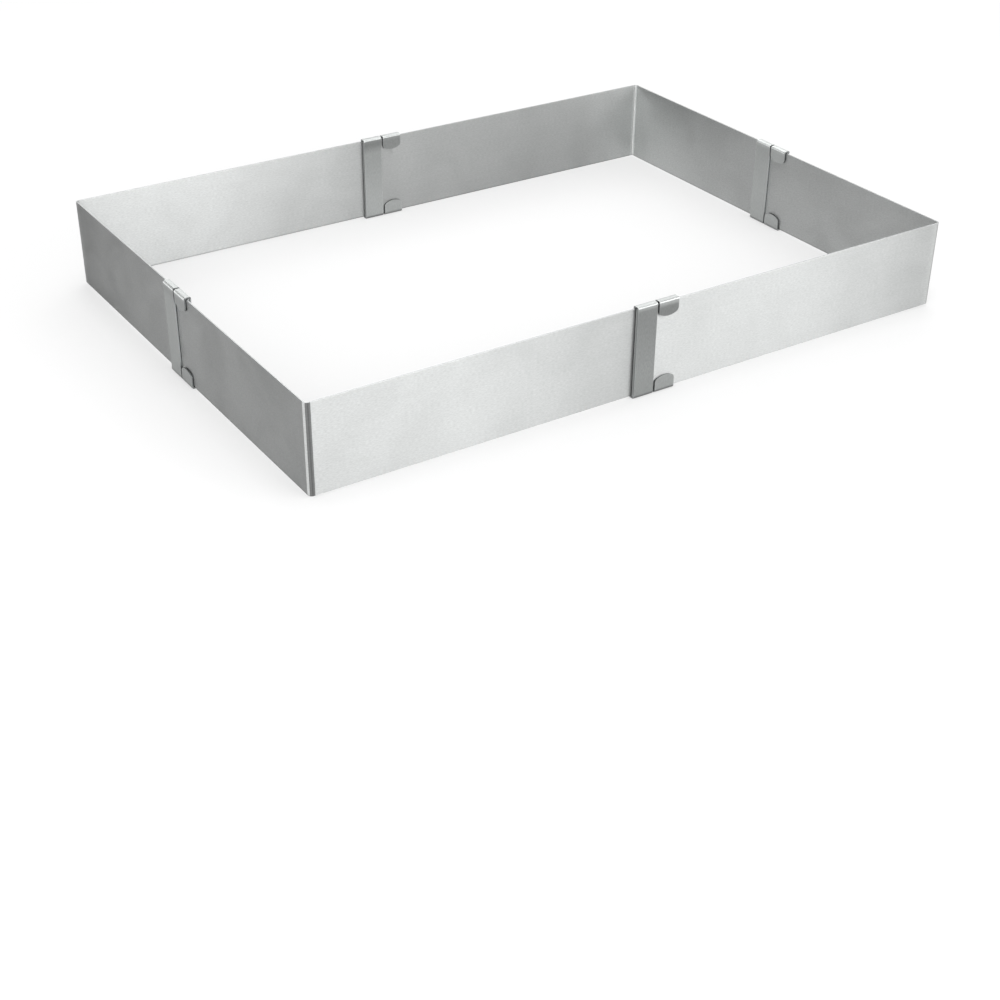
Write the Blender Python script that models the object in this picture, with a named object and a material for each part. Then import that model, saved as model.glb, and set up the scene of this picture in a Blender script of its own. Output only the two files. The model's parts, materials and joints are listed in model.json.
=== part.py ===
"""Adjustable cake frame: four bent corner sheets that slide in one another's folded clips.

Units are metres and +Z is up. The frame stands pulled out until the clips of a wall nearly meet, with its
middle above the origin and the undersides of its clips at z = 0. The front is at -Y.

Every wall has two layers. Each corner sheet is one strip bent once: one arm runs in the inner layer of its
wall and the other in the outer layer of the next, so the layers go round the frame like a pinwheel. A clip
is fixed at the free end of each arm. Its band stands on the arm's own face, and its ends are folded over
the top and bottom edges of both layers, down to a domed tab on the neighbour's far face. The neighbour
slides in that channel until the two clips of a wall meet.
"""

import math

import bmesh
import bpy
from mathutils import Matrix, Vector

# Corner sheets: an arm is measured from the outer face of the other arm to its free end
WALL_HEIGHT = 0.0500
SHEET_THICKNESS = 0.0008
LONG_ARM = 0.2140
SHORT_ARM = 0.1560
CORNER_RADIUS = 0.0022
CORNER_SEGMENTS = 10

# Folded clips: a tab's depth is measured from the sheets' edge to its tip
CLIP_WIDTH = 0.0125
CLIP_THICKNESS = 0.0008
TAB_DEPTH = 0.0079
TAB_DOME = 0.0020
TAB_CORNER_RADIUS = 0.0011
DOME_SEGMENTS = 8
TAB_CORNER_SEGMENTS = 3
FOLD_SEGMENTS = 6

# Friction dimple, pressed into the long arms of the inner layer towards the neighbour
DIMPLE_RADIUS = 0.0028
DIMPLE_FROM_CLIP = 0.0085
DIMPLE_BELOW_EDGE = 0.0096
DIMPLE_SEGMENTS = 20
DIMPLE_RISE_SHARE = 0.65
DIMPLE_RING_SHARES = ((0.80, 0.42), (0.55, 0.80), (0.28, 1.00))

# Clearance round the sheets in their channels and under a clip's band
RUNNING_GAP = 0.0003

# Space left between the two clips of a wall as the frame stands
SEAM_GAP = 0.0012

# The metal's edges are broken by this share of its thickness
BROKEN_EDGE_SHARE = 0.15
SHARP_ANGLE = math.radians(35)
FLAT_ANGLE = math.radians(1)

# Colours and roughness of the brushed steel
SHEET_COLOUR = (0.62, 0.63, 0.63)
SHEET_ROUGHNESS = 0.36
CLIP_COLOUR = (0.36, 0.37, 0.37)
CLIP_ROUGHNESS = 0.42

# Worked out from the sizes above
LAYER_PITCH = SHEET_THICKNESS + RUNNING_GAP
SHEET_BOTTOM = CLIP_THICKNESS + RUNNING_GAP
DIMPLE_FROM_END = CLIP_WIDTH + DIMPLE_FROM_CLIP
SEAM_OVERLAP = 2 * CLIP_WIDTH + SEAM_GAP
FRAME_LENGTH = 2 * LONG_ARM + LAYER_PITCH - SEAM_OVERLAP
FRAME_WIDTH = 2 * SHORT_ARM + LAYER_PITCH - SEAM_OVERLAP


def clear_scene():
    for obj in list(bpy.data.objects):
        bpy.data.objects.remove(obj, do_unlink=True)


def steel(name, colour, roughness):
    material = bpy.data.materials.new(name)
    material.use_nodes = True
    shader = material.node_tree.nodes["Principled BSDF"]
    shader.inputs["Base Color"].default_value = (*colour, 1.0)
    shader.inputs["Metallic"].default_value = 1.0
    shader.inputs["Roughness"].default_value = roughness
    return material


def arc(centre, radius, start_degrees, end_degrees, segments):
    """Points along an arc in a plane, both ends included."""
    points = []
    for step in range(segments + 1):
        angle = math.radians(start_degrees + (end_degrees - start_degrees) * step / segments)
        points.append((centre[0] + radius * math.cos(angle), centre[1] + radius * math.sin(angle)))
    return points


def extrude_edges(bm, edges):
    """Extrudes a row or ring of edges in place and returns the new vertices and the new row's edges."""
    new = bmesh.ops.extrude_edge_only(bm, edges=edges)["geom"]
    verts = [item for item in new if isinstance(item, bmesh.types.BMVert)]
    row = set(verts)
    return verts, [item for item in new if isinstance(item, bmesh.types.BMEdge) and set(item.verts) <= row]


def middle_surface(name, bm, material):
    """Makes a mesh of a sheet-metal piece's middle surface, which a modifier thickens later."""
    bmesh.ops.recalc_face_normals(bm, faces=bm.faces)
    mesh = bpy.data.meshes.new(name)
    bm.to_mesh(mesh)
    bm.free()
    mesh.shade_smooth()
    mesh.materials.append(material)
    return mesh


def press_dimple(bm, face, centre, rise):
    """Presses a round dimple into a flat face that looks along Y, towards -Y."""
    border = list(face.edges)
    bmesh.ops.delete(bm, geom=[face], context="FACES_ONLY")
    upright = Matrix.Translation(centre) @ Matrix.Rotation(math.radians(90), 4, "X")
    circle = bmesh.ops.create_circle(bm, segments=DIMPLE_SEGMENTS, radius=DIMPLE_RADIUS, matrix=upright)
    ring = list({edge for vert in circle["verts"] for edge in vert.link_edges})
    bmesh.ops.triangle_fill(bm, edges=border + ring, use_beauty=True)
    for radius_share, rise_share in DIMPLE_RING_SHARES:
        verts, ring = extrude_edges(bm, ring)
        for vert in verts:
            outward = Vector((vert.co.x - centre.x, 0, vert.co.z - centre.z)).normalized()
            vert.co = centre + outward * (DIMPLE_RADIUS * radius_share) - Vector((0, rise * rise_share, 0))
    bmesh.ops.edgeloop_fill(bm, edges=ring)


def corner_sheet(name, side, dimpled, material):
    """An L-shaped strip: its outer corner stands at the origin and its short arm runs along +Y.

    side is 1 where the long arm runs along +X and -1 where it runs along -X.
    """
    middle = SHEET_THICKNESS / 2
    plan = [(LONG_ARM, middle)]
    if dimpled:
        plan.append((LONG_ARM - 2 * DIMPLE_FROM_END, middle))
    plan += arc((CORNER_RADIUS, CORNER_RADIUS), CORNER_RADIUS - middle, 270, 180, CORNER_SEGMENTS)
    plan.append((middle, SHORT_ARM))
    bm = bmesh.new()
    foot = [bm.verts.new((side * x, y, 0)) for x, y in plan]
    verts, _ = extrude_edges(bm, [bm.edges.new(pair) for pair in zip(foot, foot[1:])])
    for vert in verts:
        vert.co.z = WALL_HEIGHT
    if dimpled:
        end_face = max(bm.faces, key=lambda face: side * face.calc_center_median().x)
        centre = Vector((side * (LONG_ARM - DIMPLE_FROM_END), middle, WALL_HEIGHT - DIMPLE_BELOW_EDGE))
        press_dimple(bm, end_face, centre, RUNNING_GAP * DIMPLE_RISE_SHARE)
    return middle_surface(name, bm, material)


def tab_outline():
    """The tab's end as pairs, in order: how far across the clip, and how far short of the tip."""
    half = CLIP_WIDTH / 2
    straight = half - TAB_CORNER_RADIUS
    dome_radius = (half * half + TAB_DOME * TAB_DOME) / (2 * TAB_DOME)
    places = [straight * (2 * step / DOME_SEGMENTS - 1) for step in range(DOME_SEGMENTS + 1)]
    for step in range(1, TAB_CORNER_SEGMENTS + 1):
        place = straight + TAB_CORNER_RADIUS * math.sin(math.radians(90) * step / TAB_CORNER_SEGMENTS)
        places += [place, -place]
    outline = []
    for place in sorted(places):
        into_corner = max(0, abs(place) - straight)
        corner_rise = TAB_CORNER_RADIUS - math.sqrt(max(0, TAB_CORNER_RADIUS ** 2 - into_corner ** 2))
        outline.append((half + place, dome_radius - math.sqrt(dome_radius ** 2 - place ** 2) + corner_rise))
    return outline


def clip_section():
    """The clip's middle line, Y across the layers and Z up, from the top tab round to the bottom tab.

    The own sheet's bare face is at y = 0 and the neighbour lies beyond it. Each fold turns round the
    edge of the sheet that it wraps, so its inside is as round as the running gap is wide.
    """
    far_face = LAYER_PITCH + SHEET_THICKNESS
    radius = RUNNING_GAP + CLIP_THICKNESS / 2
    line = arc((far_face, WALL_HEIGHT), radius, 0, 90, FOLD_SEGMENTS)
    line += arc((0, WALL_HEIGHT), radius, 90, 180, FOLD_SEGMENTS)
    line += arc((0, 0), radius, 180, 270, FOLD_SEGMENTS)
    line += arc((far_face, 0), radius, 270, 360, FOLD_SEGMENTS)
    return line


def folded_clip(name, material):
    """A C-shaped clip: its ends lie across X from the sheet's end face at x = 0, its band at -Y."""
    outline = tab_outline()
    section = clip_section()
    tab_y = section[0][0]
    rows = [[(x, y, z) for x, _ in outline] for y, z in section]
    rows.append([(x, tab_y, TAB_DEPTH - short) for x, short in outline])
    bm = bmesh.new()
    tip = [bm.verts.new((x, tab_y, WALL_HEIGHT - TAB_DEPTH + short)) for x, short in outline]
    edges = [bm.edges.new(pair) for pair in zip(tip, tip[1:])]
    for row in rows:
        verts, edges = extrude_edges(bm, edges)
        for vert, place in zip(sorted(verts, key=lambda vert: vert.co.x), row):
            vert.co = place
    bmesh.ops.dissolve_limit(bm, angle_limit=FLAT_ANGLE, verts=bm.verts, edges=bm.edges)
    return middle_surface(name, bm, material)


def place_piece(name, mesh, thickness, corner, location, turn_degrees):
    """Sets one sheet-metal piece on its corner's empty and gives it its thickness and broken edges."""
    obj = bpy.data.objects.new(name, mesh)
    bpy.context.collection.objects.link(obj)
    obj.parent = corner
    obj.location = location
    obj.rotation_euler = (0, 0, math.radians(turn_degrees))
    solid = obj.modifiers.new("thickness", "SOLIDIFY")
    solid.thickness = thickness
    solid.offset = 0
    solid.use_even_offset = True
    edges = obj.modifiers.new("broken edges", "BEVEL")
    edges.width = thickness * BROKEN_EDGE_SHARE
    edges.segments = 1
    edges.limit_method = "ANGLE"
    edges.angle_limit = SHARP_ANGLE
    edges.harden_normals = True


def build_corner(name, place, turn_degrees, sheet, clips, clip_mesh):
    """Builds one sliding corner on an empty at its outer corner: a bent sheet and its two clips.

    sheet is its name and mesh; clips has a name, a place and a turn for each clip.
    """
    corner = bpy.data.objects.new(name, None)
    bpy.context.collection.objects.link(corner)
    corner.location = (*place, SHEET_BOTTOM)
    corner.rotation_euler = (0, 0, math.radians(turn_degrees))
    sheet_name, sheet_mesh = sheet
    place_piece(sheet_name, sheet_mesh, SHEET_THICKNESS, corner, (0, 0, 0), 0)
    for clip_name, clip_place, clip_turn in clips:
        place_piece(clip_name, clip_mesh, CLIP_THICKNESS, corner, clip_place, clip_turn)


def main():
    clear_scene()
    sheet_steel = steel("sheet_steel", SHEET_COLOUR, SHEET_ROUGHNESS)
    clip_steel = steel("clip_steel", CLIP_COLOUR, CLIP_ROUGHNESS)
    clip = folded_clip("folded_clip", clip_steel)
    half_length = FRAME_LENGTH / 2
    half_width = FRAME_WIDTH / 2

    # Two corners have their long arm in the inner layer, and clip bands on the side away from the neighbour
    long_arm_inside = corner_sheet("long_arm_inside", 1, True, sheet_steel)
    long_clip = ((LONG_ARM, SHEET_THICKNESS, 0), 180)
    short_clip = ((0, SHORT_ARM, 0), -90)
    build_corner(
        "front_left_corner", (-half_length, LAYER_PITCH - half_width), 0, ("front_left_sheet", long_arm_inside),
        (("front_inner_clip", *long_clip), ("left_outer_clip", *short_clip)), clip)
    build_corner(
        "back_right_corner", (half_length, half_width - LAYER_PITCH), 180, ("back_right_sheet", long_arm_inside),
        (("back_inner_clip", *long_clip), ("right_outer_clip", *short_clip)), clip)

    # The other two have it in the outer layer
    long_arm_outside = corner_sheet("long_arm_outside", -1, False, sheet_steel)
    long_clip = ((-LONG_ARM, 0, 0), 0)
    short_clip = ((-SHEET_THICKNESS, SHORT_ARM, 0), -90)
    build_corner(
        "front_right_corner", (half_length - LAYER_PITCH, -half_width), 0, ("front_right_sheet", long_arm_outside),
        (("front_outer_clip", *long_clip), ("right_inner_clip", *short_clip)), clip)
    build_corner(
        "back_left_corner", (LAYER_PITCH - half_length, half_width), 180, ("back_left_sheet", long_arm_outside),
        (("back_outer_clip", *long_clip), ("left_inner_clip", *short_clip)), clip)


main()
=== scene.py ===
"""Adjustable cake frame: the finished look of its four bent corner sheets and eight folded clips.

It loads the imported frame, makes each piece again as fine sheet metal with brushed-steel materials, and builds
the studio round it. Lengths are metres in the frame's own coordinates, +Z is up and the front is at -Y.
"""

import json
import math
from collections import namedtuple

import bmesh
import bpy
from bpy.props import FloatProperty, FloatVectorProperty, IntProperty, PointerProperty
from bpy.types import Operator, Panel, PropertyGroup
from mathutils import Matrix, Vector


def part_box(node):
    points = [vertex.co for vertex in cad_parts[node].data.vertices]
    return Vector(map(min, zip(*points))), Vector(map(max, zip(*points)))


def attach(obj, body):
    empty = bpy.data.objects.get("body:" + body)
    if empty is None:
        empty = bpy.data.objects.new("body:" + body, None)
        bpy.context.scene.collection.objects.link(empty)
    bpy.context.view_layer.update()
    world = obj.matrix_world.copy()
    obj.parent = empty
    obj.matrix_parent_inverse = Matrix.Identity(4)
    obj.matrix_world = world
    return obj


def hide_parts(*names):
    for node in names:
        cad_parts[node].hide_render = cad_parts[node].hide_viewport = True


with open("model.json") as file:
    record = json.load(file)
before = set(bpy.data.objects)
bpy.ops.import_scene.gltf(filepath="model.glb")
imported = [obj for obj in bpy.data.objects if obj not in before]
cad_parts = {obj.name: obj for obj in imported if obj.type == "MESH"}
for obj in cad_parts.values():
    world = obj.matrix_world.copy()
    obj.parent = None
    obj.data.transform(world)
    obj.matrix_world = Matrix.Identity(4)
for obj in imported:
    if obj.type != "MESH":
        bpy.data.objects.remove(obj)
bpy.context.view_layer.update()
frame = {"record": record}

bl_info = {
    "name": "Adjustable cake frame",
    "version": (1, 0, 0),
    "blender": (4, 5, 0),
    "location": "3D View > Sidebar > Cake Frame",
    "description": "Brushed steel sheets, folded clips and a studio for an adjustable cake frame",
    "category": "Object",
}

FLAT_PATTERN = "flat_pattern"

# Each corner sheet: the sides of X and Y on which its bend stands, and whether it has a friction dimple
CORNER_SHEETS = {
    "front_left_sheet": (-1, -1, True),
    "front_right_sheet": (1, -1, False),
    "back_right_sheet": (1, 1, True),
    "back_left_sheet": (-1, 1, False),
}

# The tables of tones below were tuned by measure for the first view.
# They are painted reflection, light and shade that stand in for reflections that the lamps don't give, and at 1
# the steel is plain. A pair is a share of a distance and the tone there.

# Painted reflection and shade along each strip, from the long arm's end
SHEET_PAINTED_REFLECTION = {
    "front_left_sheet": (
        (0.0, 0.60), (0.12, 0.80), (0.24, 0.92), (0.36, 1.0), (0.54, 1.02), (0.570, 1.04), (0.586, 0.83),
        (0.60, 0.85), (0.96, 0.94)),
    "front_right_sheet": ((0.0, 0.95), (0.30, 0.97), (0.44, 0.88), (0.56, 0.76), (0.60, 1.02), (0.70, 1.10)),
    "back_right_sheet": (
        (0.0, 0.75), (0.10, 0.83), (0.32, 0.84), (0.45, 0.90), (0.50, 1.02), (0.55, 1.09), (0.60, 1.15),
        (0.68, 1.15), (0.75, 1.11), (0.90, 1.10)),
    "back_left_sheet": (
        (0.0, 0.82), (0.20, 0.95), (0.38, 1.12), (0.56, 1.14), (0.60, 0.62), (0.70, 0.80), (0.90, 0.94)),
}

# Painted reflection and shade up each clip, from the wall's lower edge to the fold's top
CLIP_PAINTED_REFLECTION = {
    "front_outer_clip": ((0.0, 1.16), (0.943, 0.92), (0.967, 1.15), (0.981, 0.74), (1.0, 0.86)),
    "front_inner_clip": ((0.0, 1.16), (0.014, 1.34), (0.92, 0.82), (0.967, 1.21), (0.981, 0.80), (1.0, 0.78)),
    "right_outer_clip": ((0.0, 1.38), (0.965, 1.24), (0.985, 1.48), (1.0, 1.06)),
    "right_inner_clip": ((0.0, 1.38), (0.965, 1.22), (0.985, 1.46), (1.0, 1.06)),
    "back_outer_clip": ((0.0, 1.46), (1.0, 0.93)),
    "back_inner_clip": (
        (0.0, 1.20), (0.014, 1.54), (0.80, 1.22), (0.94, 0.82), (0.97, 0.80), (0.985, 1.0), (1.0, 0.94)),
    "left_outer_clip": ((0.0, 1.18), (0.80, 1.12), (0.965, 0.95), (0.978, 1.40), (0.992, 1.40), (1.0, 0.76)),
    "left_inner_clip": ((0.0, 1.16), (0.965, 1.00), (0.978, 1.40), (0.992, 1.40), (1.0, 0.76)),
}

# Painted reflection across a bend, its dark and bright stripes, from the long arm's side
DARK_BEND = (
    (0.0, 1.0), (0.04, 0.34), (0.525, 0.34), (0.585, 1.5), (0.74, 1.6), (0.80, 2.1), (0.88, 2.1), (0.92, 1.0))
PALE_BEND = ((0.0, 1.0), (0.25, 0.92), (0.60, 0.86), (0.70, 1.24), (0.78, 1.24), (0.86, 1.0))
LINED_BEND = ((0.0, 1.0), (0.06, 1.18), (0.25, 1.04), (0.60, 0.96), (0.69, 1.62), (0.75, 1.62), (0.81, 1.0))
BEND_PAINTED_REFLECTION = {
    "front_left_sheet": DARK_BEND,
    "front_right_sheet": PALE_BEND,
    "back_right_sheet": LINED_BEND,
    "back_left_sheet": PALE_BEND,
}

# Painted highlight up the last stretch of a clip to the top of its fold
FOLD_PAINTED_HIGHLIGHT = ((0.0, 1.0), (0.60, 1.16), (0.74, 2.2), (0.88, 2.2), (1.0, 2.0))

# Painted light on the upright edges of each wall's bands, a tone for each wall
BAND_EDGE_PAINTED_LIGHT = {"front": 1.43, "right": 2.05, "back": 1.3, "left": 1.65}

# Layers of brushing lines: their width and length beside the finest lines', the detail of their noise, and
# the stretch of it that is spread from none to full
LineLayer = namedtuple("LineLayer", "width_factor length_factor detail none full")
FINE_LINES = LineLayer(1.0, 1.0, 2.0, 0.34, 0.66)
STROKES = LineLayer(2.6, 0.36, 1.0, 0.28, 0.72)
STREAKS = LineLayer(9.0, 5.0, 2.0, 0.30, 0.70)

# The roughness of all noise but the handling marks'; the detail and the used stretch of the edges' noise
NOISE_ROUGHNESS = 0.6
EDGE_NOISE_DETAIL = 3.0
EDGE_NOISE_STRETCH = (0.3, 0.7)

# Tones of the strokes, the streaks, the handling marks and the grain of a cut, from none to full
STROKE_TONES = (0.90, 1.07)
STREAK_TONES = (0.985, 1.015)
MARK_TONES = (1.0, 0.98)
CUT_TONES = (0.86, 1.08)

# Handling marks: their size, their noise, the stretch of it that is spread from none to full, and what they
# add to the roughness
MARK_SIZE = 0.030
MARK_NOISE = {"Detail": 4.0, "Roughness": 0.55, "Distortion": 0.6}
MARK_STRETCH = (0.38, 0.68)
MARK_ROUGHNESS = 0.04

# Rubbed edges: how far in they reach, the least share of that, the scale of their noise, and what they add to
# the tone and take from the roughness
RUB_REACH = 0.0009
RUB_LEAST_SHARE = 0.35
RUB_NOISE_SCALE = 420.0
RUB_TONE = 0.10
RUB_ROUGHNESS = 0.06

# How much the finest lines vary the roughness, either way
LINE_ROUGHNESS = 0.05

# The grain of a cut: the scale of its noise, and what it adds to the roughness, from none to full
CUT_NOISE_SCALE = 2500.0
CUT_ROUGHNESS = (0.08, -0.05)

# Bumps: the depth that full strength stands for, and the strength of the lines and of the grain of a cut
BUMP_DEPTH = 0.00002
LINE_BUMP = 0.25
CUT_BUMP = 0.3

# How far the brushing stretches a reflection, and the quarter turn that sets its direction on the sheets
ANISOTROPY = 0.85
QUARTER_TURN = 0.25

# Where the painted shade along a sheet's lower edge starts, and the tone of the painted shade at the underside
# of a clip
LOWER_EDGE_SHADE_START = 0.0002
CLIP_UNDERSIDE_SHADE = 0.30

# Each blank's flat pattern lies in its own metre of the coil
BLANK_PITCH = 1.0

# Edges sharper than the first angle are broken, and faces that meet at less than the second are joined
SHARP_ANGLE = math.radians(35)
FLAT_ANGLE = math.radians(0.5)

# Faces round the dimple for each of its rings
FACES_PER_RING = 6

# Nothing nearer to the camera than this is seen
NEAREST_SEEN = 0.01

# Each wall's outward direction. A wall has one clip with its band outside and one with its band inside; the
# number says which way a clip's tabs lie from its band, and 1 is outward
WALLS = {"front": (0, -1), "right": (1, 0), "back": (0, 1), "left": (-1, 0)}
CLIP_LAYERS = {"outer": -1, "inner": 1}

BODY_OF_NODE = {
    node: body for body, nodes in frame["record"]["behaviour"]["bodies"].items() for node in nodes
}

# Material slots of a clip's faces; the metal's edge has the slot after its face's
BAND_FACE = 0
TAB_FACE = 2

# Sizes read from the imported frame. The layers' pitch is read across the right wall, and the half width from a
# plain sheet, because a dimpled sheet's box takes in the dimple, which stands proud of its long arm
SHEET_LOW, SHEET_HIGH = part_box("front_left_sheet")
CLIP_LOW, CLIP_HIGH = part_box("front_outer_clip")
WALL_HEIGHT = SHEET_HIGH.z - SHEET_LOW.z
LAYER_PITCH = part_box("back_right_sheet")[1].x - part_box("front_right_sheet")[1].x
HALF_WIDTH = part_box("back_left_sheet")[1].y
CLIP_WIDTH = CLIP_HIGH.x - CLIP_LOW.x
CLIP_DEPTH = CLIP_HIGH.y - CLIP_LOW.y
CLIP_REACH = SHEET_LOW.z - CLIP_LOW.z

# A sheet's blank: its length, where the bend lies along it, from the long arm's end, the bend's stripes of
# painted reflection, and the tone of the painted shade along the long arm's lower edge
Strip = namedtuple("Strip", "length bend_start bend_end stripes long_burr_tone")


class CakeFrameSheetSettings(PropertyGroup):
    thickness: FloatProperty(
        name="Thickness", description="Thickness of the sheet steel", default=0.0008, unit="LENGTH")
    bend_radius: FloatProperty(
        name="Bend radius", description="Outer radius of the bend at the corner", default=0.0022,
        unit="LENGTH")
    bend_steps: IntProperty(
        name="Bend steps", description="Faces round the bend", default=24, min=4)
    broken_edge: FloatProperty(
        name="Broken edge", description="Radius on the edges of the metal", default=0.00012, unit="LENGTH")
    edge_steps: IntProperty(
        name="Edge steps", description="Faces round a broken edge", default=3, min=1)
    dimple_radius: FloatProperty(
        name="Dimple radius", description="Radius of the friction dimple", default=0.0028, unit="LENGTH")
    dimple_from_clip: FloatProperty(
        name="Dimple from clip", description="From the long arm's clip to the dimple", default=0.0085,
        unit="LENGTH")
    dimple_below_edge: FloatProperty(
        name="Dimple below edge", description="From the upper edge to the dimple", default=0.0096,
        unit="LENGTH")
    dimple_rise: FloatProperty(
        name="Dimple rise", description="Height of the dimple over the sheet", default=0.000195,
        unit="LENGTH")
    dimple_steps: IntProperty(
        name="Dimple steps", description="Faces round the dimple", default=48, min=8)


class CakeFrameClipSettings(PropertyGroup):
    tab_depth: FloatProperty(
        name="Tab depth", description="From the sheets' edge to a tab's tip", default=0.0079, unit="LENGTH")
    tab_dome: FloatProperty(
        name="Tab dome", description="Rise of the tab's rounded end", default=0.0020, unit="LENGTH")
    tab_corner: FloatProperty(
        name="Tab corner", description="Radius where the dome meets the side", default=0.0011, unit="LENGTH")
    dome_steps: IntProperty(
        name="Dome steps", description="Faces along the dome", default=20, min=4)
    corner_steps: IntProperty(
        name="Corner steps", description="Faces round each tab corner", default=6, min=2)
    fold_steps: IntProperty(
        name="Fold steps", description="Faces round a quarter of a fold", default=12, min=3)
    seat_gap: FloatProperty(
        name="Seat gap", description="Left between a band and the sheet that it is fixed to",
        default=0.000235, unit="LENGTH")
    seat_length: FloatProperty(
        name="Seat length", description="Height over which a band comes down to its sheet", default=0.0016,
        unit="LENGTH")
    seat_steps: IntProperty(
        name="Seat steps", description="Faces along that height", default=8, min=2)
    broken_edge: FloatProperty(
        name="Broken edge", description="Radius on the edges of the metal", default=0.00018, unit="LENGTH")


class CakeFrameFinishSettings(PropertyGroup):
    sheet_colour: FloatVectorProperty(
        name="Sheet colour", description="Colour of the brushed sheets", default=(0.55, 0.56, 0.556),
        subtype="COLOR", min=0, max=1)
    sheet_roughness: FloatProperty(
        name="Sheet roughness", description="Roughness of the brushed sheets", default=0.52,
        subtype="FACTOR", min=0, max=1)
    clip_colour: FloatVectorProperty(
        name="Clip colour", description="Colour of the clips", default=(0.315, 0.325, 0.321),
        subtype="COLOR", min=0, max=1)
    clip_roughness: FloatProperty(
        name="Clip roughness", description="Roughness of the clips", default=0.40,
        subtype="FACTOR", min=0, max=1)
    sheet_edge_colour: FloatVectorProperty(
        name="Sheet edge colour", description="Colour of the sheets' sheared edges",
        default=(0.48, 0.49, 0.49), subtype="COLOR", min=0, max=1)
    clip_edge_colour: FloatVectorProperty(
        name="Clip edge colour", description="Colour of the clips' sheared edges",
        default=(0.28, 0.29, 0.29), subtype="COLOR", min=0, max=1)
    edge_roughness: FloatProperty(
        name="Cut edge roughness", description="Roughness of the sheared edges", default=0.30,
        subtype="FACTOR", min=0, max=1)
    line_width: FloatProperty(
        name="Line width", description="Width of the finest brushing lines", default=0.00016, unit="LENGTH")
    line_length: FloatProperty(
        name="Line length", description="Length of the finest brushing lines", default=0.005, unit="LENGTH")
    # Painted shade along the lower edges: its height on sheets and clips, its tone on the sheets and its
    # lighter tone along the front wall
    lower_edge_shade_height: FloatProperty(
        name="Burr line", description="Height of the dull line along the lower edges of sheets and clips",
        default=0.0009, unit="LENGTH")
    burr_tone: FloatProperty(
        name="Burr tone", description="Tone of that line on the sheets", default=0.55, subtype="FACTOR",
        min=0, max=1)
    front_lower_edge_shade_tone: FloatProperty(
        name="Front burr tone", description="Its tone along the front wall", default=0.94, subtype="FACTOR",
        min=0, max=1)
    # How far the painted reflection stripes of a bend reach over its ends
    bend_stripe_reach: FloatProperty(
        name="Bend line", description="How far the stripes of a bend reach over either end of it",
        default=0.0008, unit="LENGTH")
    # How far the painted highlight on a clip's folds reaches down its faces
    fold_highlight_reach: FloatProperty(
        name="Fold polish", description="How far the polish of a clip's folds reaches down its faces",
        default=0.0026, unit="LENGTH")


class CakeFrameStudioSettings(PropertyGroup):
    camera_place: FloatVectorProperty(
        name="Camera place", description="Where the camera stands", default=(-0.4967, -0.7510, 0.4179),
        subtype="TRANSLATION", unit="LENGTH")
    camera_yaw: FloatProperty(
        name="Camera yaw", description="Turned to the right of +Y", default=math.radians(33.442),
        subtype="ANGLE")
    camera_pitch: FloatProperty(
        name="Camera pitch", description="Tilted down", default=math.radians(31.882), subtype="ANGLE")
    camera_roll: FloatProperty(
        name="Camera roll", description="Rolled anticlockwise", default=math.radians(0.594), subtype="ANGLE")
    lens: FloatProperty(
        name="Lens", description="Focal length on a 36 mm sensor", default=60.65, min=1)
    floor_size: FloatProperty(
        name="Floor size", description="Side of the square floor", default=12.0, unit="LENGTH")
    floor_colour: FloatVectorProperty(
        name="Floor colour", description="Colour of the pale floor", default=(0.42, 0.42, 0.42),
        subtype="COLOR", min=0, max=1)
    floor_lift: FloatProperty(
        name="Floor lift", description="Whiteness added where the floor is seen or mirrored", default=0.4,
        subtype="FACTOR", min=0, max=1)
    sky_level: FloatProperty(
        name="Sky level", description="Brightness of the white surroundings", default=1.0, min=0)
    key_level: FloatProperty(
        name="Key level", description="Brightness of the big soft box at the front right", default=3.4, min=0)
    overhead_level: FloatProperty(
        name="Overhead level", description="Brightness of the soft box overhead", default=3.2, min=0)
    left_level: FloatProperty(
        name="Left level", description="Brightness of the soft box at the front left", default=3.2, min=0)
    top_level: FloatProperty(
        name="Top level", description="Brightness of the soft box above the back right", default=1.6, min=0)
    card_colour: FloatVectorProperty(
        name="Card colour", description="Colour of the dark cards that the steel mirrors",
        default=(0.03, 0.03, 0.03), subtype="COLOR", min=0, max=1)
    grey_card_colour: FloatVectorProperty(
        name="Grey card colour", description="Colour of the card that the left clips' edges mirror",
        default=(0.14, 0.14, 0.14), subtype="COLOR", min=0, max=1)


def add_node(tree, kind, inputs=None, **fields):
    """Adds a shader node, sets its fields, and fills or links its inputs."""
    node = tree.nodes.new(kind)
    for name, value in fields.items():
        setattr(node, name, value)
    for name, value in (inputs or {}).items():
        if isinstance(value, bpy.types.NodeSocket):
            tree.links.new(value, node.inputs[name])
        else:
            node.inputs[name].default_value = value
    return node


def maths(tree, operation, first, second=0.0):
    """Adds a Math node and returns its output."""
    return add_node(tree, "ShaderNodeMath", {0: first, 1: second}, operation=operation).outputs[0]


def remap(tree, value, low, high, new_low, new_high):
    """Maps a value from one range to another, held inside it, and returns the output."""
    sockets = {"Value": value, "From Min": low, "From Max": high, "To Min": new_low, "To Max": new_high}
    return add_node(tree, "ShaderNodeMapRange", sockets).outputs["Result"]


def new_group(name, inputs, outputs):
    """Makes an empty node group with named sockets; returns it with its input and output nodes."""
    group = bpy.data.node_groups.new(name, "ShaderNodeTree")
    for socket, kind, default in inputs:
        made = group.interface.new_socket(socket, in_out="INPUT", socket_type=kind)
        if default is not None:
            made.default_value = default
    for socket, kind in outputs:
        group.interface.new_socket(socket, in_out="OUTPUT", socket_type=kind)
    return group, group.nodes.new("NodeGroupInput"), group.nodes.new("NodeGroupOutput")


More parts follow.
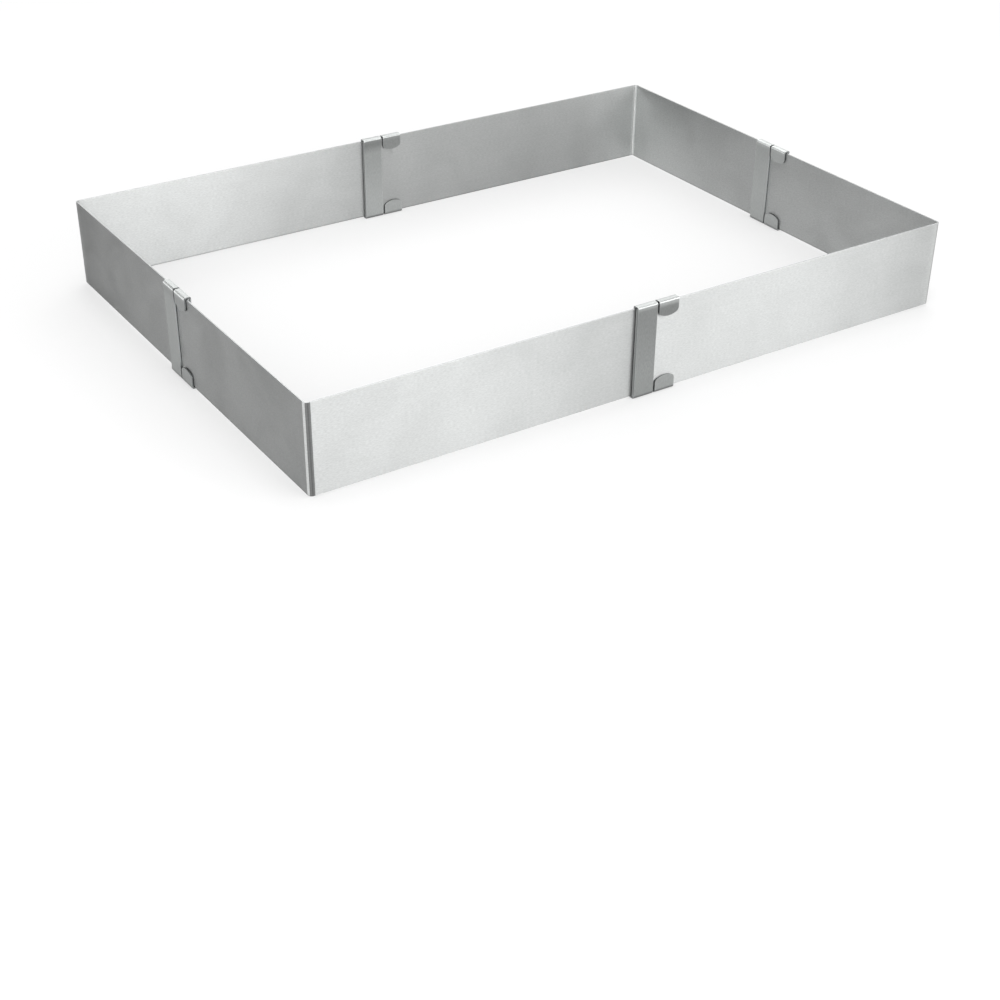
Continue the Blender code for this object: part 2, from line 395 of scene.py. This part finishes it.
def brushed_lines_group():
    """Fine lines of a brushed finish, which run along the pattern's first axis."""
    group, given, result = new_group(
        "brushed_lines",
        (("Vector", "NodeSocketVector", None), ("Line Width", "NodeSocketFloat", 0.0002),
         ("Line Length", "NodeSocketFloat", 0.01)),
        (("Lines", "NodeSocketFloat"), ("Strokes", "NodeSocketFloat"), ("Streaks", "NodeSocketFloat")))
    place = add_node(group, "ShaderNodeSeparateXYZ", {"Vector": given.outputs["Vector"]})

    def lines(layer):
        """One layer of stretched noise."""
        width = maths(group, "MULTIPLY", given.outputs["Line Width"], layer.width_factor)
        length = maths(group, "MULTIPLY", given.outputs["Line Length"], layer.length_factor)
        stretched = add_node(group, "ShaderNodeCombineXYZ", {
            "X": maths(group, "DIVIDE", place.outputs["X"], length),
            "Y": maths(group, "DIVIDE", place.outputs["Y"], width)})
        noise = add_node(group, "ShaderNodeTexNoise", {
            "Vector": stretched.outputs["Vector"], "Scale": 1.0, "Detail": layer.detail,
            "Roughness": NOISE_ROUGHNESS}, noise_dimensions="2D")
        return noise.outputs["Fac"]

    def put_out(name, value, layer):
        """Spreads a layer's noise from none to full and puts it out."""
        group.links.new(remap(group, value, layer.none, layer.full, 0.0, 1.0), result.inputs[name])

    fine = lines(FINE_LINES)
    strokes = lines(STROKES)
    streaks = lines(STREAKS)
    fine_and_strokes = maths(group, "MULTIPLY", maths(group, "ADD", fine, strokes), 0.5)
    put_out("Lines", fine_and_strokes, FINE_LINES)
    put_out("Strokes", strokes, STROKES)
    put_out("Streaks", streaks, STREAKS)
    return group


def rubbed_edge_group():
    """A mask that rises towards the long edges of a blank and is broken up by noise."""
    group, given, result = new_group(
        "rubbed_edge",
        (("Vector", "NodeSocketVector", None), ("Place", "NodeSocketFloat", 0.0),
         ("Width", "NodeSocketFloat", 0.05), ("Reach", "NodeSocketFloat", 0.001)),
        (("Mask", "NodeSocketFloat"),))
    far_side = maths(group, "SUBTRACT", given.outputs["Width"], given.outputs["Place"])
    distance = maths(group, "MINIMUM", given.outputs["Place"], far_side)
    noise = add_node(group, "ShaderNodeTexNoise", {
        "Vector": given.outputs["Vector"], "Scale": RUB_NOISE_SCALE, "Detail": EDGE_NOISE_DETAIL,
        "Roughness": NOISE_ROUGHNESS}, noise_dimensions="2D")
    uneven = remap(group, noise.outputs["Fac"], *EDGE_NOISE_STRETCH, RUB_LEAST_SHARE, 1.0)
    reach = maths(group, "MULTIPLY", given.outputs["Reach"], uneven)
    share = maths(group, "DIVIDE", distance, reach)
    group.links.new(remap(group, share, 0.0, 1.0, 1.0, 0.0), result.inputs["Mask"])
    return group


def handling_marks_group():
    """Soft clouds of handling and wiping marks."""
    group, given, result = new_group(
        "handling_marks",
        (("Vector", "NodeSocketVector", None), ("Size", "NodeSocketFloat", 0.02)),
        (("Mask", "NodeSocketFloat"),))
    scale = maths(group, "DIVIDE", 1.0, given.outputs["Size"])
    noise = add_node(group, "ShaderNodeTexNoise", {
        "Vector": given.outputs["Vector"], "Scale": scale, **MARK_NOISE}, noise_dimensions="2D")
    group.links.new(remap(group, noise.outputs["Fac"], *MARK_STRETCH, 0.0, 1.0), result.inputs["Mask"])
    return group


def shared_group(name, make):
    """A node group that several materials use, made when it is first asked for."""
    return bpy.data.node_groups.get(name) or make()


def new_material(name):
    """Makes a material; returns it with its node tree and its Principled node."""
    material = bpy.data.materials.new(name)
    material.use_nodes = True
    return material, material.node_tree, material.node_tree.nodes["Principled BSDF"]


def painted_light_ramp(tree, share, stops):
    """The painted light and shade at a share of a distance, eased from stop to stop."""
    ramp = add_node(tree, "ShaderNodeValToRGB", {"Fac": share})
    ramp.color_ramp.interpolation = "EASE"
    first, last = ramp.color_ramp.elements
    first.position, last.position = stops[0][0], stops[-1][0]
    first.color, last.color = ((tone, tone, tone, 1) for tone in (stops[0][1], stops[-1][1]))
    for place, tone in stops[1:-1]:
        ramp.color_ramp.elements.new(place).color = (tone, tone, tone, 1)
    return ramp.outputs["Color"]


def brushed_steel(name, colour, roughness, width, finish, stops, strip=None):
    """Brushed steel whose painted reflection and shade change from stop to stop.

    A sheet gives its strip, and its lines and painted reflection run along it, with painted reflection stripes
    across its bend and painted shade along its lower edge. A clip gives none: its lines run across the flat
    pattern's first axis, its painted reflection runs up the wall, its upper fold carries a painted highlight
    and its underside painted shade.
    """
    lines_across = strip is None
    material, tree, shader = new_material(name)
    pattern = add_node(tree, "ShaderNodeUVMap", uv_map=FLAT_PATTERN).outputs["UV"]
    split = add_node(tree, "ShaderNodeSeparateXYZ", {"Vector": pattern})
    along, across = split.outputs["X"], split.outputs["Y"]
    if lines_across:
        turned = add_node(tree, "ShaderNodeCombineXYZ", {"X": across, "Y": along}).outputs["Vector"]
        edge_place = maths(tree, "FLOORED_MODULO", along, BLANK_PITCH)
    else:
        turned = pattern
        edge_place = across
    lines = add_node(tree, "ShaderNodeGroup", node_tree=shared_group("brushed_lines", brushed_lines_group))
    tree.links.new(turned, lines.inputs["Vector"])
    lines.inputs["Line Width"].default_value = finish.line_width
    lines.inputs["Line Length"].default_value = finish.line_length
    marks = add_node(tree, "ShaderNodeGroup", node_tree=shared_group("handling_marks", handling_marks_group))
    tree.links.new(pattern, marks.inputs["Vector"])
    marks.inputs["Size"].default_value = MARK_SIZE
    rubbed = add_node(tree, "ShaderNodeGroup", node_tree=shared_group("rubbed_edge", rubbed_edge_group))
    tree.links.new(pattern, rubbed.inputs["Vector"])
    tree.links.new(edge_place, rubbed.inputs["Place"])
    rubbed.inputs["Width"].default_value = width
    rubbed.inputs["Reach"].default_value = RUB_REACH

    fine, strokes, streaks = lines.outputs["Lines"], lines.outputs["Strokes"], lines.outputs["Streaks"]
    tone = remap(tree, strokes, 0.0, 1.0, *STROKE_TONES)
    tone = maths(tree, "MULTIPLY", tone, remap(tree, streaks, 0.0, 1.0, *STREAK_TONES))
    tone = maths(tree, "MULTIPLY", tone, remap(tree, marks.outputs["Mask"], 0.0, 1.0, *MARK_TONES))
    tone = maths(tree, "ADD", tone, maths(tree, "MULTIPLY", rubbed.outputs["Mask"], RUB_TONE))
    if lines_across:
        place = add_node(tree, "ShaderNodeTexCoord").outputs["Object"]
        height = add_node(tree, "ShaderNodeSeparateXYZ", {"Vector": place}).outputs["Z"]
        share = maths(tree, "DIVIDE", height, WALL_HEIGHT + CLIP_REACH)
        # Painted highlight on the clip's upper fold
        top_share = remap(tree, height, WALL_HEIGHT - finish.fold_highlight_reach, WALL_HEIGHT + CLIP_REACH, 0.0, 1.0)
        tone = maths(tree, "MULTIPLY", tone, painted_light_ramp(tree, top_share, FOLD_PAINTED_HIGHLIGHT))
        # Painted shade, darker towards the clip's underside
        underside_shade = remap(tree, height, -CLIP_REACH, finish.lower_edge_shade_height, CLIP_UNDERSIDE_SHADE, 1.0)
        tone = maths(tree, "MULTIPLY", tone, underside_shade)
    else:
        place = maths(tree, "FLOORED_MODULO", along, BLANK_PITCH)
        share = maths(tree, "DIVIDE", place, strip.length)
        # Painted reflection stripes across the bend
        bend_share = remap(
            tree, place, strip.bend_start - finish.bend_stripe_reach, strip.bend_end + finish.bend_stripe_reach, 0.0, 1.0)
        tone = maths(tree, "MULTIPLY", tone, painted_light_ramp(tree, bend_share, strip.stripes))
        # Painted shade along the sheet's lower edge, lighter on the front wall's long arm
        burr_tone = remap(
            tree, place, strip.bend_start, strip.bend_end, strip.long_burr_tone, finish.burr_tone)
        tone = maths(
            tree, "MULTIPLY", tone, remap(tree, across, LOWER_EDGE_SHADE_START, finish.lower_edge_shade_height, burr_tone, 1.0))
    # Painted reflection and shade along a sheet's strip and up a clip
    tone = maths(tree, "MULTIPLY", tone, painted_light_ramp(tree, share, stops))
    toned = add_node(tree, "ShaderNodeVectorMath", {0: tuple(colour), 1: tone}, operation="MULTIPLY")
    tree.links.new(toned.outputs["Vector"], shader.inputs["Base Color"])

    rough = remap(tree, fine, 0.0, 1.0, roughness - LINE_ROUGHNESS, roughness + LINE_ROUGHNESS)
    rough = maths(tree, "ADD", rough, maths(tree, "MULTIPLY", marks.outputs["Mask"], MARK_ROUGHNESS))
    rough = maths(tree, "SUBTRACT", rough, maths(tree, "MULTIPLY", rubbed.outputs["Mask"], RUB_ROUGHNESS))
    tree.links.new(rough, shader.inputs["Roughness"])
    bump = add_node(tree, "ShaderNodeBump", {"Strength": LINE_BUMP, "Distance": BUMP_DEPTH, "Height": fine})
    tree.links.new(bump.outputs["Normal"], shader.inputs["Normal"])
    shader.inputs["Metallic"].default_value = 1.0
    shader.inputs["Anisotropic"].default_value = ANISOTROPY
    shader.inputs["Anisotropic Rotation"].default_value = 0.0 if lines_across else QUARTER_TURN
    tangent = add_node(tree, "ShaderNodeTangent", direction_type="UV_MAP", uv_map=FLAT_PATTERN)
    tree.links.new(tangent.outputs["Tangent"], shader.inputs["Tangent"])
    return material


def cut_edge_steel(name, colour, finish, upright_painted_light=1.0):
    """The sheared edges of a blank, grainy from the cut; painted light gives its upright edges a tone of their
    own.
    """
    material, tree, shader = new_material(name)
    place = add_node(tree, "ShaderNodeTexCoord")
    grain = add_node(tree, "ShaderNodeTexNoise", {
        "Vector": place.outputs["Object"], "Scale": CUT_NOISE_SCALE, "Detail": EDGE_NOISE_DETAIL,
        "Roughness": NOISE_ROUGHNESS}).outputs["Fac"]
    rise = add_node(tree, "ShaderNodeSeparateXYZ", {"Vector": place.outputs["Normal"]}).outputs["Z"]
    tone = remap(tree, grain, *EDGE_NOISE_STRETCH, *CUT_TONES)
    # Painted light on the upright edges
    faces_up_or_down = maths(tree, "ABSOLUTE", rise)
    tone = maths(tree, "MULTIPLY", tone, remap(tree, faces_up_or_down, 0.0, 1.0, upright_painted_light, 1.0))
    toned = add_node(tree, "ShaderNodeVectorMath", {0: tuple(colour), 1: tone}, operation="MULTIPLY")
    tree.links.new(toned.outputs["Vector"], shader.inputs["Base Color"])
    rough = remap(
        tree, grain, *EDGE_NOISE_STRETCH, *(finish.edge_roughness + change for change in CUT_ROUGHNESS))
    tree.links.new(rough, shader.inputs["Roughness"])
    bump = add_node(tree, "ShaderNodeBump", {"Strength": CUT_BUMP, "Distance": BUMP_DEPTH, "Height": grain})
    tree.links.new(bump.outputs["Normal"], shader.inputs["Normal"])
    shader.inputs["Metallic"].default_value = 1.0
    return material


def arc(centre, radius, start_degrees, end_degrees, steps):
    """Points along an arc in a plane, both ends included."""
    points = []
    for step in range(steps + 1):
        angle = math.radians(start_degrees + (end_degrees - start_degrees) * step / steps)
        points.append((centre[0] + radius * math.cos(angle), centre[1] + radius * math.sin(angle)))
    return points


def extrude_edges(bm, edges):
    """Extrudes a row or ring of edges in place and returns the new vertices and the new row's edges."""
    new = bmesh.ops.extrude_edge_only(bm, edges=edges)["geom"]
    verts = [item for item in new if isinstance(item, bmesh.types.BMVert)]
    row = set(verts)
    return verts, [item for item in new if isinstance(item, bmesh.types.BMEdge) and set(item.verts) <= row]


def press_dimple(bm, face, centre, settings):
    """Presses a round, soft-shouldered dimple into a flat face that looks along Y, towards -Y."""
    border = list(face.edges)
    bmesh.ops.delete(bm, geom=[face], context="FACES_ONLY")
    upright = Matrix.Translation(centre) @ Matrix.Rotation(math.radians(90), 4, "X")
    circle = bmesh.ops.create_circle(
        bm, segments=settings.dimple_steps, radius=settings.dimple_radius, matrix=upright)
    ring = list({edge for vert in circle["verts"] for edge in vert.link_edges})
    bmesh.ops.triangle_fill(bm, edges=border + ring, use_beauty=True)
    ring_count = settings.dimple_steps // FACES_PER_RING
    for step in range(1, ring_count):
        share = 1 - step / ring_count
        rise = settings.dimple_rise * (0.5 + 0.5 * math.cos(math.pi * share))
        verts, ring = extrude_edges(bm, ring)
        for vert in verts:
            outward = Vector((vert.co.x - centre.x, 0, vert.co.z - centre.z)).normalized()
            vert.co = centre + outward * (settings.dimple_radius * share) - Vector((0, rise, 0))
    bmesh.ops.edgeloop_fill(bm, edges=ring)


def sheet_metal(name, bm, unrolled, materials, thickness, broken_edge, edge_steps):
    """Makes a piece from its middle surface: lays its flat pattern and gives it thickness and broken edges.

    unrolled gives a vertex's place on the flat blank.
    """
    bmesh.ops.recalc_face_normals(bm, faces=bm.faces)
    pattern = bm.loops.layers.uv.new(FLAT_PATTERN)
    for face in bm.faces:
        for loop in face.loops:
            loop[pattern].uv = unrolled(loop.vert)
    mesh = bpy.data.meshes.new(name)
    bm.to_mesh(mesh)
    bm.free()
    mesh.shade_smooth()
    for material in materials:
        mesh.materials.append(material)
    piece = bpy.data.objects.new(name, mesh)
    bpy.context.collection.objects.link(piece)
    solid = piece.modifiers.new("thickness", "SOLIDIFY")
    solid.thickness = thickness
    solid.offset = 0
    solid.use_even_offset = True
    solid.material_offset_rim = 1
    edges = piece.modifiers.new("broken edges", "BEVEL")
    edges.width = broken_edge
    edges.segments = edge_steps
    edges.limit_method = "ANGLE"
    edges.angle_limit = SHARP_ANGLE
    edges.harden_normals = True
    return piece


def sheet_arms(node):
    """A corner sheet's long arm, its short arm and the foot of its bend's outer corner."""
    side_x, side_y, dimpled = CORNER_SHEETS[node]
    low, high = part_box(node)
    bend_y = side_y * (HALF_WIDTH - (LAYER_PITCH if dimpled else 0))
    free_end_y = low.y if side_y > 0 else high.y
    return high.x - low.x, abs(free_end_y - bend_y), (high.x if side_x > 0 else low.x, bend_y, low.z)


def corner_sheet(node, index, settings, materials):
    """One L-shaped strip in its node's place: the bend at the object's origin, the long arm along X."""
    side_x, side_y, dimpled = CORNER_SHEETS[node]
    long_arm, short_arm, corner = sheet_arms(node)
    dimple_from_end = CLIP_WIDTH + settings.dimple_from_clip
    middle = settings.thickness / 2
    radius = settings.bend_radius
    bend_radius = radius - middle
    plan = [(long_arm, middle)]
    if dimpled:
        plan.append((long_arm - 2 * dimple_from_end, middle))
    plan += arc((radius, radius), bend_radius, 270, 180, settings.bend_steps)
    plan.append((middle, short_arm))
    bm = bmesh.new()
    foot = [bm.verts.new((x, y, 0)) for x, y in plan]
    verts, _ = extrude_edges(bm, [bm.edges.new(pair) for pair in zip(foot, foot[1:])])
    for vert in verts:
        vert.co.z = WALL_HEIGHT
    if dimpled:
        end_face = max(bm.faces, key=lambda face: face.calc_center_median().x)
        centre = Vector((long_arm - dimple_from_end, middle, WALL_HEIGHT - settings.dimple_below_edge))
        press_dimple(bm, end_face, centre, settings)

    def unrolled(vert):
        """Along the strip from the long arm's end, and up it."""
        x, y = abs(vert.co.x), abs(vert.co.y)
        if x >= radius:
            along = long_arm - x
        elif y <= radius:
            along = long_arm - radius + bend_radius * math.atan2(radius - x, radius - y)
        else:
            along = long_arm - radius + bend_radius * math.pi / 2 + y - radius
        return index * BLANK_PITCH + along, vert.co.z

    bmesh.ops.scale(bm, vec=(-side_x, -side_y, 1), verts=bm.verts)
    piece = sheet_metal(
        node.replace("_sheet", "_brushed_sheet"), bm, unrolled, materials, settings.thickness,
        settings.broken_edge, settings.edge_steps)
    piece.location = corner
    return piece


def tab_outline(settings):
    """The tab's end as pairs, in order: how far across the clip, and how far short of the tip."""
    half = CLIP_WIDTH / 2
    straight = half - settings.tab_corner
    dome_radius = (half * half + settings.tab_dome ** 2) / (2 * settings.tab_dome)
    places = [straight * (2 * step / settings.dome_steps - 1) for step in range(settings.dome_steps + 1)]
    for step in range(1, settings.corner_steps + 1):
        place = straight + settings.tab_corner * math.sin(math.radians(90) * step / settings.corner_steps)
        places += [place, -place]
    outline = []
    for place in sorted(places):
        into_corner = max(0, abs(place) - straight)
        corner_rise = settings.tab_corner - math.sqrt(max(0, settings.tab_corner ** 2 - into_corner ** 2))
        outline.append((place, dome_radius - math.sqrt(dome_radius ** 2 - place ** 2) + corner_rise))
    return outline


def folded_clip(node, index, outward, layer, sheet_settings, settings, materials):
    """One C-shaped clip in its node's place, with its band on the outer or inner side of the wall."""
    running_gap = LAYER_PITCH - sheet_settings.thickness
    thickness = CLIP_REACH - running_gap
    radius = running_gap + thickness / 2
    own_face = thickness + running_gap
    far_face = CLIP_DEPTH - own_face
    section = arc((far_face, WALL_HEIGHT), radius, 0, 90, settings.fold_steps)
    section += arc((own_face, WALL_HEIGHT), radius, 90, 180, settings.fold_steps)
    band_end = []
    for step in range(1, settings.seat_steps + 1):
        share = step / settings.seat_steps
        towards_sheet = (running_gap - settings.seat_gap) * (0.5 - 0.5 * math.cos(math.pi * share))
        band_end.append((own_face - radius + towards_sheet, settings.seat_length * share))
    section += [(y, WALL_HEIGHT - z) for y, z in band_end]
    section += reversed(band_end)
    section += arc((own_face, 0), radius, 180, 270, settings.fold_steps)
    section += arc((far_face, 0), radius, 270, 360, settings.fold_steps)
    outline = tab_outline(settings)
    tab_y = section[0][0]

    bm = bmesh.new()
    developed = bm.verts.layers.float.new("developed")
    row = [bm.verts.new((x, tab_y, WALL_HEIGHT - settings.tab_depth + short)) for x, short in outline]
    for vert, (_, short) in zip(row, outline):
        vert[developed] = short
    edges = [bm.edges.new(pair) for pair in zip(row, row[1:])]
    rows = [[(x, y, z) for x, _ in outline] for y, z in section]
    rows.append([(x, tab_y, settings.tab_depth - short) for x, short in outline])
    length = 0
    last = (tab_y, WALL_HEIGHT - settings.tab_depth)
    for places, here in zip(rows, section + [(tab_y, settings.tab_depth)]):
        length += math.dist(last, here)
        last = here
        verts, edges = extrude_edges(bm, edges)
        for vert, place in zip(sorted(verts, key=lambda vert: vert.co.x), places):
            vert.co = place
            vert[developed] = length - (here[1] - place[2])
    bmesh.ops.dissolve_limit(bm, angle_limit=FLAT_ANGLE, verts=bm.verts, edges=bm.edges)
    for face in bm.faces:
        middle = face.calc_center_median()
        in_band = middle.y < own_face and 0 < middle.z < WALL_HEIGHT
        face.material_index = BAND_FACE if in_band else TAB_FACE

    def unrolled(vert):
        """Across the clip, and along it from the upper tab's tip."""
        return index * BLANK_PITCH + CLIP_WIDTH / 2 + vert.co.x, vert[developed]

    piece = sheet_metal(
        node.replace("_clip", "_folded_clip"), bm, unrolled, materials, thickness, settings.broken_edge,
        sheet_settings.edge_steps)
    low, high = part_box(node)
    to_tabs = Vector((outward[0], outward[1], 0)) * layer
    across = Vector((to_tabs.y, -to_tabs.x, 0))
    band = (low + high) / 2 - to_tabs * (CLIP_DEPTH / 2)
    band.z = SHEET_LOW.z
    turn = Matrix((across, to_tabs, Vector((0, 0, 1)))).transposed().to_4x4()
    piece.matrix_world = Matrix.Translation(band) @ turn
    return piece


def seat(piece, node):
    """Puts a finished piece in place of its CAD node."""
    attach(piece, BODY_OF_NODE[node])
    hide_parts(node)


class CAKEFRAME_OT_corner_sheets(Operator):
    """Makes the four bent corner sheets"""

    bl_idname = "cake_frame.corner_sheets"
    bl_label = "Corner sheets"

    def execute(self, context):
        finish = context.scene.cake_frame_finish
        settings = context.scene.cake_frame_sheet
        cut_edge = cut_edge_steel("cut_sheet_edge", finish.sheet_edge_colour, finish)
        bend_length = (settings.bend_radius - settings.thickness / 2) * math.pi / 2
        for index, node in enumerate(CORNER_SHEETS):
            long_arm, short_arm, _ = sheet_arms(node)
            bend_start = long_arm - settings.bend_radius
            bend_end = bend_start + bend_length
            strip_length = bend_end + short_arm - settings.bend_radius
            # Painted shade along the lower edge, lighter along the front wall
            long_burr_tone = finish.front_lower_edge_shade_tone if CORNER_SHEETS[node][1] < 0 else finish.burr_tone
            strip = Strip(strip_length, bend_start, bend_end, BEND_PAINTED_REFLECTION[node], long_burr_tone)
            steel = brushed_steel(
                node.replace("_sheet", "_brushed_steel"), finish.sheet_colour, finish.sheet_roughness,
                WALL_HEIGHT, finish, SHEET_PAINTED_REFLECTION[node], strip)
            seat(corner_sheet(node, index, settings, (steel, cut_edge)), node)
        return {"FINISHED"}


class CAKEFRAME_OT_folded_clips(Operator):
    """Makes the eight folded clips, two on each wall"""

    bl_idname = "cake_frame.folded_clips"
    bl_label = "Folded clips"

    def execute(self, context):
        finish = context.scene.cake_frame_finish
        settings = context.scene.cake_frame_clip
        cut_edge = cut_edge_steel("cut_clip_edge", finish.clip_edge_colour, finish)
        index = len(CORNER_SHEETS)
        for wall, outward in WALLS.items():
            # Each wall's bands get edges with their own painted light
            band_edge_painted_light = cut_edge_steel(
                f"cut_{wall}_band_edge_painted_light", finish.clip_edge_colour, finish, BAND_EDGE_PAINTED_LIGHT[wall])
            for side, layer in CLIP_LAYERS.items():
                node = f"{wall}_{side}_clip"
                steel = brushed_steel(
                    node.replace("_clip", "_clip_steel"), finish.clip_colour, finish.clip_roughness,
                    CLIP_WIDTH, finish, CLIP_PAINTED_REFLECTION[node])
                piece = folded_clip(
                    node, index, outward, layer, context.scene.cake_frame_sheet, settings,
                    (steel, band_edge_painted_light, steel, cut_edge))
                seat(piece, node)
                index += 1
        return {"FINISHED"}


def aimed(name, data, place, facing):
    """Puts a lamp or a mesh that looks along -Z at a place, turned to look at a point."""
    thing = bpy.data.objects.new(name, data)
    bpy.context.collection.objects.link(thing)
    thing.location = place
    thing.rotation_euler = (Vector(facing) - Vector(place)).to_track_quat("-Z", "Y").to_euler()
    return thing


def soft_box(name, level, width, height, place, facing):
    """Makes a rectangular lamp whose level is the brightness that a mirror shows."""
    lamp = bpy.data.lights.new(name, "AREA")
    lamp.shape = "RECTANGLE"
    lamp.size = width
    lamp.size_y = height
    lamp.energy = level * math.pi * width * height
    box = aimed(name, lamp, place, facing)
    box.visible_camera = False


def flat_panel(name, width, height, material):
    """A rectangle round its origin, in the XY plane."""
    mesh = bpy.data.meshes.new(name)
    half_width, half_height = width / 2, height / 2
    corners = [
        (-half_width, -half_height, 0), (half_width, -half_height, 0), (half_width, half_height, 0),
        (-half_width, half_height, 0)]
    mesh.from_pydata(corners, [], [(0, 1, 2, 3)])
    mesh.materials.append(material)
    return mesh


def mirrored_card(name, width, height, place, facing, material):
    """Makes a card that only the steel mirrors."""
    card = aimed(name, flat_panel(name, width, height, material), place, facing)
    card.visible_camera = False
    card.visible_diffuse = False
    card.visible_shadow = False


def matt_material(name, colour):
    """A material without any shine."""
    material, _, shader = new_material(name)
    shader.inputs["Base Color"].default_value = (*colour, 1)
    shader.inputs["Roughness"].default_value = 1.0
    shader.inputs["Specular IOR Level"].default_value = 0.0
    return material


def floor_material(settings):
    """Pale floor: lit like any surface, with a little whiteness added where it is seen or mirrored."""
    material = matt_material("pale_floor", settings.floor_colour)
    tree = material.node_tree
    shader = tree.nodes["Principled BSDF"]
    path = add_node(tree, "ShaderNodeLightPath")
    seen = maths(tree, "ADD", path.outputs["Is Camera Ray"], path.outputs["Is Glossy Ray"])
    seen = maths(tree, "ADD", seen, path.outputs["Is Transmission Ray"])
    strength = maths(tree, "MULTIPLY", seen, settings.floor_lift)
    lift = add_node(tree, "ShaderNodeEmission", {"Strength": strength})
    both = add_node(tree, "ShaderNodeAddShader", {0: shader.outputs["BSDF"], 1: lift.outputs["Emission"]})
    tree.links.new(both.outputs["Shader"], tree.nodes["Material Output"].inputs["Surface"])
    return material


def around(azimuth_degrees, distance, height):
    """A place at a distance from the middle; azimuth 0 is at +Y and grows towards -X."""
    angle = math.radians(azimuth_degrees)
    return -math.sin(angle) * distance, math.cos(angle) * distance, height


# Each soft box: the setting of its level, its width and height, where it stands and what it faces
SOFT_BOXES = {
    "key_light": ("key_level", 1.65, 1.0, around(208.5, 1.9, 0.55), (0, 0, 0.1)),
    "top_light": ("top_level", 1.6, 1.0, around(327, 1.6, 1.5), (0, 0, 0)),
    "overhead_light": ("overhead_level", 0.9, 0.9, (-0.1, -0.1, 1.8), (-0.1, -0.1, 0)),
    "left_light": ("left_level", 1.1, 1.0, around(138, 1.5, 0.6), (0, 0, 0.1)),
}

# Each card: its material, its width and height, where it stands and what it faces
CARDS = {
    "left_back_card": ("dark_card", 1.1, 1.0, around(33, 1.0, 0.5), (0, 0, 0.5)),
    "edge_card": ("grey_card", 0.12, 0.16, (-0.245, -0.34, 0.08), (-0.2, -0.14, 0.08)),
    "front_flag": ("dark_card", 0.34, 0.24, (0.29, -0.135, 0.19), (0.29, 0, 0.19)),
}


class CAKEFRAME_OT_studio(Operator):
    """Makes the pale floor, the soft lamps, the dark cards, the world and the camera"""

    bl_idname = "cake_frame.studio"
    bl_label = "Studio"

    def execute(self, context):
        settings = context.scene.cake_frame_studio
        floor = bpy.data.objects.new(
            "floor", flat_panel("floor", settings.floor_size, settings.floor_size, floor_material(settings)))
        context.collection.objects.link(floor)
        for name, (level, width, height, place, facing) in SOFT_BOXES.items():
            soft_box(name, getattr(settings, level), width, height, place, facing)
        card_materials = {
            "dark_card": matt_material("dark_card", settings.card_colour),
            "grey_card": matt_material("grey_card", settings.grey_card_colour),
        }
        for name, (material, width, height, place, facing) in CARDS.items():
            mirrored_card(name, width, height, place, facing, card_materials[material])
        world = bpy.data.worlds.new("white_surroundings")
        world.use_nodes = True
        sky = world.node_tree.nodes["Background"]
        sky.inputs["Color"].default_value = (1, 1, 1, 1)
        sky.inputs["Strength"].default_value = settings.sky_level
        context.scene.world = world
        context.scene.view_settings.view_transform = "Standard"
        self.make_camera(context, settings)
        return {"FINISHED"}

    def make_camera(self, context, settings):
        """Makes the camera at its place, turned by its yaw, pitch and roll."""
        yaw, pitch, roll = settings.camera_yaw, settings.camera_pitch, settings.camera_roll
        forward = Vector((math.sin(yaw) * math.cos(pitch), math.cos(yaw) * math.cos(pitch), -math.sin(pitch)))
        level = Vector((math.cos(yaw), -math.sin(yaw), 0))
        raised = level.cross(forward)
        right = level * math.cos(roll) + raised * math.sin(roll)
        up = raised * math.cos(roll) - level * math.sin(roll)
        camera = bpy.data.objects.new("camera", bpy.data.cameras.new("camera"))
        camera.data.lens = settings.lens
        camera.data.clip_start = NEAREST_SEEN
        turn = Matrix((right, up, -forward)).transposed().to_4x4()
        camera.matrix_world = Matrix.Translation(settings.camera_place) @ turn
        context.collection.objects.link(camera)
        context.scene.camera = camera


class CAKEFRAME_PT_panel(Panel):
    """Lists the pieces of the cake frame"""

    bl_idname = "CAKEFRAME_PT_panel"
    bl_label = "Cake Frame"
    bl_space_type = "VIEW_3D"
    bl_region_type = "UI"
    bl_category = "Cake Frame"

    def draw(self, context):
        layout = self.layout
        for operator in OPERATORS:
            layout.operator(operator.bl_idname)
        for name in SETTINGS:
            box = layout.box()
            for field in getattr(context.scene, name).bl_rna.properties:
                if field.identifier not in ("name", "rna_type"):
                    box.prop(getattr(context.scene, name), field.identifier)


SETTINGS = {
    "cake_frame_sheet": CakeFrameSheetSettings,
    "cake_frame_clip": CakeFrameClipSettings,
    "cake_frame_finish": CakeFrameFinishSettings,
    "cake_frame_studio": CakeFrameStudioSettings,
}
OPERATORS = (CAKEFRAME_OT_corner_sheets, CAKEFRAME_OT_folded_clips, CAKEFRAME_OT_studio)
CLASSES = (*SETTINGS.values(), *OPERATORS, CAKEFRAME_PT_panel)


def register():
    for cls in CLASSES:
        bpy.utils.register_class(cls)
    for name, cls in SETTINGS.items():
        setattr(bpy.types.Scene, name, PointerProperty(type=cls))


def unregister():
    for name in SETTINGS:
        delattr(bpy.types.Scene, name)
    for cls in reversed(CLASSES):
        bpy.utils.unregister_class(cls)


def main():
    register()
    bpy.ops.cake_frame.corner_sheets()
    bpy.ops.cake_frame.folded_clips()
    bpy.ops.cake_frame.studio()


if __name__ == "__main__":
    main()
